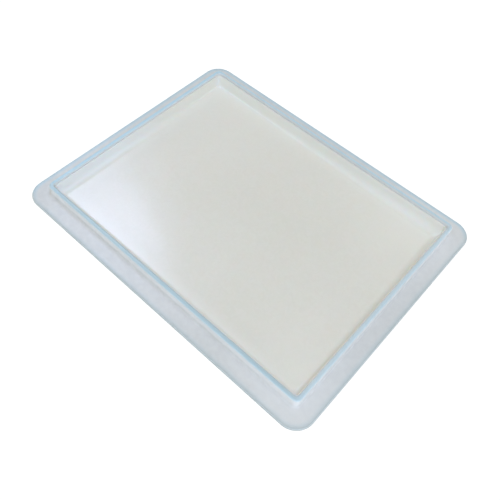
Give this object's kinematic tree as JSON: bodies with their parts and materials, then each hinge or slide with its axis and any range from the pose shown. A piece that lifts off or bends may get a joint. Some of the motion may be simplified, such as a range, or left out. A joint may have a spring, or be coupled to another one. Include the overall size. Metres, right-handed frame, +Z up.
{
  "type": "wet palette",
  "caption": "Shallow rectangular palette tray with a wide flange and a raised rim, holding a damp membrane sheet on a sponge, with its lid stowed underneath.",
  "frame": {"origin": "on the table, under the middle of the palette", "axes": "+X along the long side to the right, +Y along the short side to the back, +Z up, towards the painter"},
  "size_m": [0.229, 0.18, 0.0227],
  "materials": {
    "tray_plastic": "frosted translucent polypropylene, faintly blue",
    "lid_plastic": "frosted translucent polypropylene, clearer than the tray",
    "seal_silicone": "matte milky silicone",
    "foot_rubber": "matte grey rubber",
    "sponge_cellulose": "wet cellulose sponge, open pores",
    "membrane_paper": "damp parchment, semi-gloss, faint fibres"
  },
  "bodies": {
    "lid": {"lid": "lid_plastic", "lid_seal": "seal_silicone"},
    "tray": {"tray": "tray_plastic", "tray_foot_front_left": "foot_rubber", "tray_foot_front_right": "foot_rubber", "tray_foot_back_left": "foot_rubber", "tray_foot_back_right": "foot_rubber"},
    "sponge": {"sponge": "sponge_cellulose"},
    "membrane": {"membrane_sheet": "membrane_paper"}
  },
  "joints": [
    {"name": "tray_lift", "type": "slide", "parent": "lid", "child": "tray", "axis": [0, 0, 1], "range_m": [0, 0.06]},
    {"name": "sponge_lift", "type": "slide", "parent": "tray", "child": "sponge", "axis": [0, 0, 1], "range_m": [0, 0.04]},
    {"name": "sheet_lift", "type": "slide", "parent": "sponge", "child": "membrane", "axis": [0, 0, 1], "range_m": [0, 0.04]}
  ]
}
